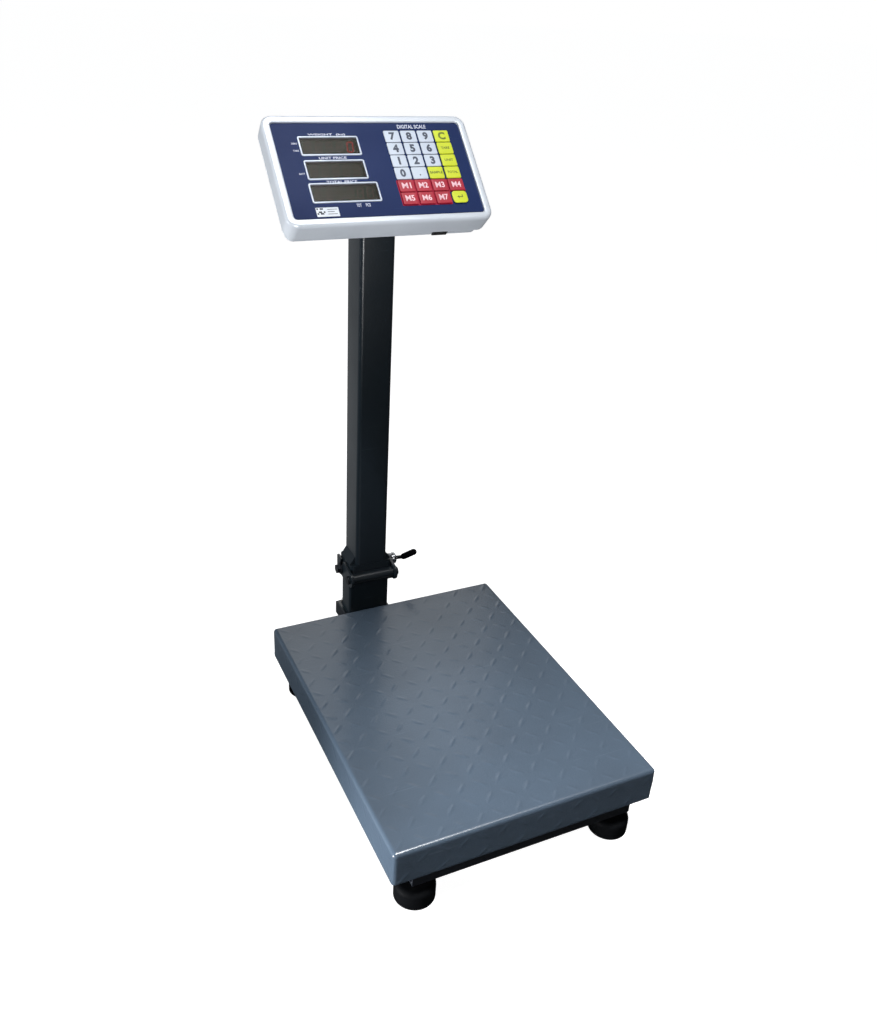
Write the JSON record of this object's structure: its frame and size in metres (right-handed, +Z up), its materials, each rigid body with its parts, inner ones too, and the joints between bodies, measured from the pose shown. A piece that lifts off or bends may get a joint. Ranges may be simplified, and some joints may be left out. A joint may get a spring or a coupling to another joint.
{
  "type": "platform shipping scale",
  "caption": "Platform shipping scale with a tread-plate tray, fold-down column and tilting keypad and display head.",
  "frame": {"origin": "on the floor under the middle of the whole scale", "axes": "+Z up, +X to the right of a person facing the scale over its tray, +Y from the tray towards the column"},
  "size_m": [0.35, 0.586, 0.7817],
  "materials": {
    "frame_paint": "satin dark grey paint",
    "column_paint": "semi-gloss charcoal paint",
    "hammertone_paint": "semi-gloss hammertone slate grey paint on tread plate",
    "alloy": "machined",
    "zinc_steel": "zinc plated",
    "dark_steel": "blackened",
    "lever_steel": "bright",
    "black_rubber": "matt",
    "silver_casing": "satin silver",
    "window_trim": "satin silver",
    "navy_panel": "satin printed film",
    "smoked_window": "smoked",
    "circuit_board": "solder resist",
    "transformer_iron": "varnished",
    "battery_case": "moulded",
    "black_plastic": "moulded",
    "white_key": "satin",
    "yellow_key": "satin",
    "red_key": "satin"
  },
  "bodies": {
    "base": {"base_frame": "frame_paint", "load_cell": "alloy", "load_frame": "frame_paint", "tray_buffers": "black_rubber", "overload_stops": "zinc_steel", "base_fasteners": "zinc_steel", "lower_post": "frame_paint", "hinge_cradle": "column_paint", "hinge_pin": "dark_steel"},
    "tray": {"tray": "hammertone_paint"},
    "column": {"column_shoe": "column_paint", "column_tube": "column_paint", "clamp_rod": "dark_steel", "tilt_yoke": "column_paint", "tilt_bolt": "zinc_steel"},
    "lever": {"clamp_lever": "lever_steel", "lever_grip": "black_rubber"},
    "head": {"front_bezel": "silver_casing", "back_cover": "silver_casing", "case_screws": "zinc_steel", "control_panel": "navy_panel", "window_frames": "window_trim", "display_windows": "smoked_window", "display_board": "circuit_board", "keypad_board": "circuit_board", "main_board": "circuit_board", "transformer": "transformer_iron", "battery": "battery_case", "power_switch": "black_plastic", "cable_glands": "black_plastic", "head_mount": "column_paint"},
    "rocker": {"power_rocker": "black_plastic"},
    "foot_front_left": {"foot_front_left": "black_rubber"},
    "foot_front_right": {"foot_front_right": "black_rubber"},
    "foot_rear_left": {"foot_rear_left": "black_rubber"},
    "foot_rear_right": {"foot_rear_right": "black_rubber"},
    "key_7": {"key_7": "white_key"},
    "key_8": {"key_8": "white_key"},
    "key_9": {"key_9": "white_key"},
    "key_clear": {"key_clear": "yellow_key"},
    "key_4": {"key_4": "white_key"},
    "key_5": {"key_5": "white_key"},
    "key_6": {"key_6": "white_key"},
    "key_tare": {"key_tare": "yellow_key"},
    "key_1": {"key_1": "white_key"},
    "key_2": {"key_2": "white_key"},
    "key_3": {"key_3": "white_key"},
    "key_unit": {"key_unit": "yellow_key"},
    "key_0": {"key_0": "white_key"},
    "key_point": {"key_point": "white_key"},
    "key_sample": {"key_sample": "yellow_key"},
    "key_add": {"key_add": "yellow_key"},
    "key_m1": {"key_m1": "red_key"},
    "key_m2": {"key_m2": "red_key"},
    "key_m3": {"key_m3": "red_key"},
    "key_m4": {"key_m4": "red_key"},
    "key_m5": {"key_m5": "red_key"},
    "key_m6": {"key_m6": "red_key"},
    "key_m7": {"key_m7": "red_key"},
    "key_enter": {"key_enter": "yellow_key"}
  },
  "joints": [
    {"name": "tray_lift", "type": "slide", "parent": "base", "child": "tray", "axis": [0, 0, 1], "range_m": [0, 0.02]},
    {"name": "column_fold", "type": "hinge", "parent": "base", "child": "column", "pos_m": [0, 0.20839, 0.124], "axis": [1, 0, 0], "range_deg": [0, 90]},
    {"name": "clamp_lever_turn", "type": "hinge", "parent": "column", "child": "lever", "pos_m": [0, 0.24539, 0.124], "axis": [1, 0, 0], "range_deg": [0, 110]},
    {"name": "head_tilt", "type": "hinge", "parent": "column", "child": "head", "pos_m": [0, 0.23739, 0.6723], "axis": [1, 0, 0], "range_deg": [-30, 10]},
    {"name": "power_rocker_tip", "type": "hinge", "parent": "head", "child": "rocker", "pos_m": [0.075, 0.18701, 0.65381], "axis": [0, -0.7071, 0.7071], "range_deg": [0, 16]},
    {"name": "foot_front_left_screw", "type": "slide", "parent": "base", "child": "foot_front_left", "axis": [0, 0, 1], "range_m": [-0.01, 0.004]},
    {"name": "foot_front_right_screw", "type": "slide", "parent": "base", "child": "foot_front_right", "axis": [0, 0, 1], "range_m": [-0.01, 0.004]},
    {"name": "foot_rear_left_screw", "type": "slide", "parent": "base", "child": "foot_rear_left", "axis": [0, 0, 1], "range_m": [-0.01, 0.004]},
    {"name": "foot_rear_right_screw", "type": "slide", "parent": "base", "child": "foot_rear_right", "axis": [0, 0, 1], "range_m": [-0.01, 0.004]},
    {"name": "key_7_press", "type": "slide", "parent": "head", "child": "key_7", "axis": [0, 0.7071, -0.7071], "range_m": [0, 0.0006], "stiffness_N_per_m": 400},
    {"name": "key_8_press", "type": "slide", "parent": "head", "child": "key_8", "axis": [0, 0.7071, -0.7071], "range_m": [0, 0.0006], "stiffness_N_per_m": 400},
    {"name": "key_9_press", "type": "slide", "parent": "head", "child": "key_9", "axis": [0, 0.7071, -0.7071], "range_m": [0, 0.0006], "stiffness_N_per_m": 400},
    {"name": "key_clear_press", "type": "slide", "parent": "head", "child": "key_clear", "axis": [0, 0.7071, -0.7071], "range_m": [0, 0.0006], "stiffness_N_per_m": 400},
    {"name": "key_4_press", "type": "slide", "parent": "head", "child": "key_4", "axis": [0, 0.7071, -0.7071], "range_m": [0, 0.0006], "stiffness_N_per_m": 400},
    {"name": "key_5_press", "type": "slide", "parent": "head", "child": "key_5", "axis": [0, 0.7071, -0.7071], "range_m": [0, 0.0006], "stiffness_N_per_m": 400},
    {"name": "key_6_press", "type": "slide", "parent": "head", "child": "key_6", "axis": [0, 0.7071, -0.7071], "range_m": [0, 0.0006], "stiffness_N_per_m": 400},
    {"name": "key_tare_press", "type": "slide", "parent": "head", "child": "key_tare", "axis": [0, 0.7071, -0.7071], "range_m": [0, 0.0006], "stiffness_N_per_m": 400},
    {"name": "key_1_press", "type": "slide", "parent": "head", "child": "key_1", "axis": [0, 0.7071, -0.7071], "range_m": [0, 0.0006], "stiffness_N_per_m": 400},
    {"name": "key_2_press", "type": "slide", "parent": "head", "child": "key_2", "axis": [0, 0.7071, -0.7071], "range_m": [0, 0.0006], "stiffness_N_per_m": 400},
    {"name": "key_3_press", "type": "slide", "parent": "head", "child": "key_3", "axis": [0, 0.7071, -0.7071], "range_m": [0, 0.0006], "stiffness_N_per_m": 400},
    {"name": "key_unit_press", "type": "slide", "parent": "head", "child": "key_unit", "axis": [0, 0.7071, -0.7071], "range_m": [0, 0.0006], "stiffness_N_per_m": 400},
    {"name": "key_0_press", "type": "slide", "parent": "head", "child": "key_0", "axis": [0, 0.7071, -0.7071], "range_m": [0, 0.0006], "stiffness_N_per_m": 400},
    {"name": "key_point_press", "type": "slide", "parent": "head", "child": "key_point", "axis": [0, 0.7071, -0.7071], "range_m": [0, 0.0006], "stiffness_N_per_m": 400},
    {"name": "key_sample_press", "type": "slide", "parent": "head", "child": "key_sample", "axis": [0, 0.7071, -0.7071], "range_m": [0, 0.0006], "stiffness_N_per_m": 400},
    {"name": "key_add_press", "type": "slide", "parent": "head", "child": "key_add", "axis": [0, 0.7071, -0.7071], "range_m": [0, 0.0006], "stiffness_N_per_m": 400},
    {"name": "key_m1_press", "type": "slide", "parent": "head", "child": "key_m1", "axis": [0, 0.7071, -0.7071], "range_m": [0, 0.0006], "stiffness_N_per_m": 400},
    {"name": "key_m2_press", "type": "slide", "parent": "head", "child": "key_m2", "axis": [0, 0.7071, -0.7071], "range_m": [0, 0.0006], "stiffness_N_per_m": 400},
    {"name": "key_m3_press", "type": "slide", "parent": "head", "child": "key_m3", "axis": [0, 0.7071, -0.7071], "range_m": [0, 0.0006], "stiffness_N_per_m": 400},
    {"name": "key_m4_press", "type": "slide", "parent": "head", "child": "key_m4", "axis": [0, 0.7071, -0.7071], "range_m": [0, 0.0006], "stiffness_N_per_m": 400},
    {"name": "key_m5_press", "type": "slide", "parent": "head", "child": "key_m5", "axis": [0, 0.7071, -0.7071], "range_m": [0, 0.0006], "stiffness_N_per_m": 400},
    {"name": "key_m6_press", "type": "slide", "parent": "head", "child": "key_m6", "axis": [0, 0.7071, -0.7071], "range_m": [0, 0.0006], "stiffness_N_per_m": 400},
    {"name": "key_m7_press", "type": "slide", "parent": "head", "child": "key_m7", "axis": [0, 0.7071, -0.7071], "range_m": [0, 0.0006], "stiffness_N_per_m": 400},
    {"name": "key_enter_press", "type": "slide", "parent": "head", "child": "key_enter", "axis": [0, 0.7071, -0.7071], "range_m": [0, 0.0006], "stiffness_N_per_m": 400}
  ]
}
